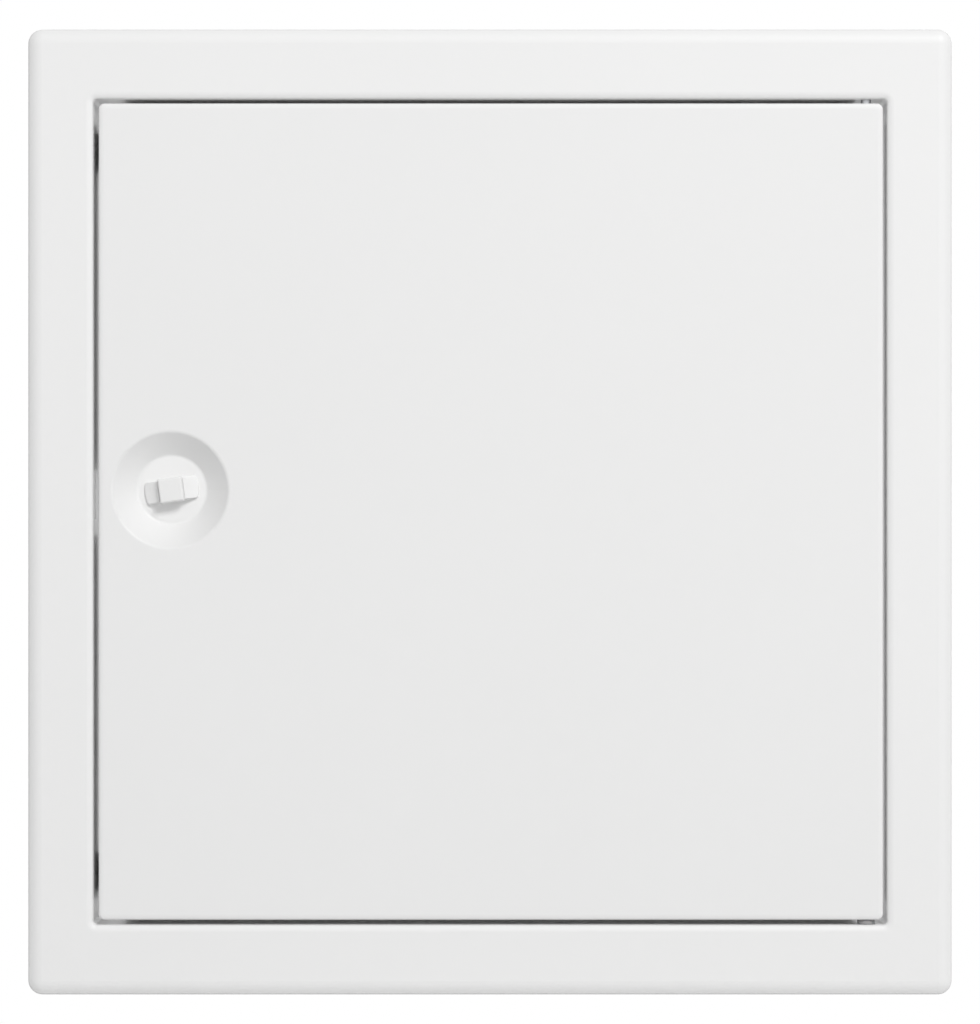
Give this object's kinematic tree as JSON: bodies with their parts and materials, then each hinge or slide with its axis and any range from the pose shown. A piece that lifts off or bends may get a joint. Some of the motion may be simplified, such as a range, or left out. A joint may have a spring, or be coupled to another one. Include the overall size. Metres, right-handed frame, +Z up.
{
  "type": "ceiling access panel",
  "caption": "Flush sheet-steel access panel: a flanged surround with a hinged door, concealed pivot pins and a square-key cam lock in a pressed dish.",
  "frame": {"origin": "centre of the ceiling opening that the collar lines, in the plane of the ceiling's surface, which the flange's rim sits on", "axes": "+X to the right seen from the front, the front faces -Y, +Y goes into the ceiling, +Z up the panel"},
  "size_m": [0.2312, 0.034, 0.2416],
  "materials": {
    "powder_coat": "satin white powder coat",
    "zinc_plate": "bright zinc plate",
    "rivet_metal": "plain",
    "bright_steel": "bright drawn",
    "spring_steel": "drawn wire",
    "lock_white": "white moulded polyamide",
    "rubber": "matt",
    "nylon": "grey"
  },
  "bodies": {
    "frame": {"surround_frame": "powder_coat", "anchor_upper_left": "zinc_plate", "anchor_upper_right": "zinc_plate", "anchor_lower_left": "zinc_plate", "anchor_lower_right": "zinc_plate", "anchor_rivets": "rivet_metal", "stop_bracket_upper": "zinc_plate", "stop_bracket_lower": "zinc_plate", "stop_buffer_upper": "rubber", "stop_buffer_lower": "rubber", "stop_rivets": "rivet_metal", "pivot_washer": "nylon"},
    "door": {"door_panel": "powder_coat", "hinge_bracket_upper": "zinc_plate", "hinge_bracket_lower": "zinc_plate", "lower_pivot_pin": "bright_steel", "pivot_spring": "spring_steel", "lock_stop_plate": "zinc_plate"},
    "upper_pin": {"upper_pivot_pin": "bright_steel", "pivot_clip": "spring_steel"},
    "lock": {"lock_spindle": "lock_white", "lock_cam": "zinc_plate", "lock_washer": "zinc_plate", "lock_screw": "bright_steel"}
  },
  "joints": [
    {"name": "door_swing", "type": "hinge", "parent": "frame", "child": "door", "pos_m": [0.0943, -0.0012, 0], "axis": [0, 0, 1], "range_deg": [0, 115]},
    {"name": "lock_turn", "type": "hinge", "parent": "door", "child": "lock", "pos_m": [-0.0799, 0, 0.0055], "axis": [0, 1, 0], "range_deg": [0, 90]},
    {"name": "pin_draw", "type": "slide", "parent": "door", "child": "upper_pin", "axis": [0, 0, -1], "range_m": [0, 0.004], "stiffness_N_per_m": 600, "springref_m": -0.004, "deforming": ["pivot_spring"]}
  ]
}
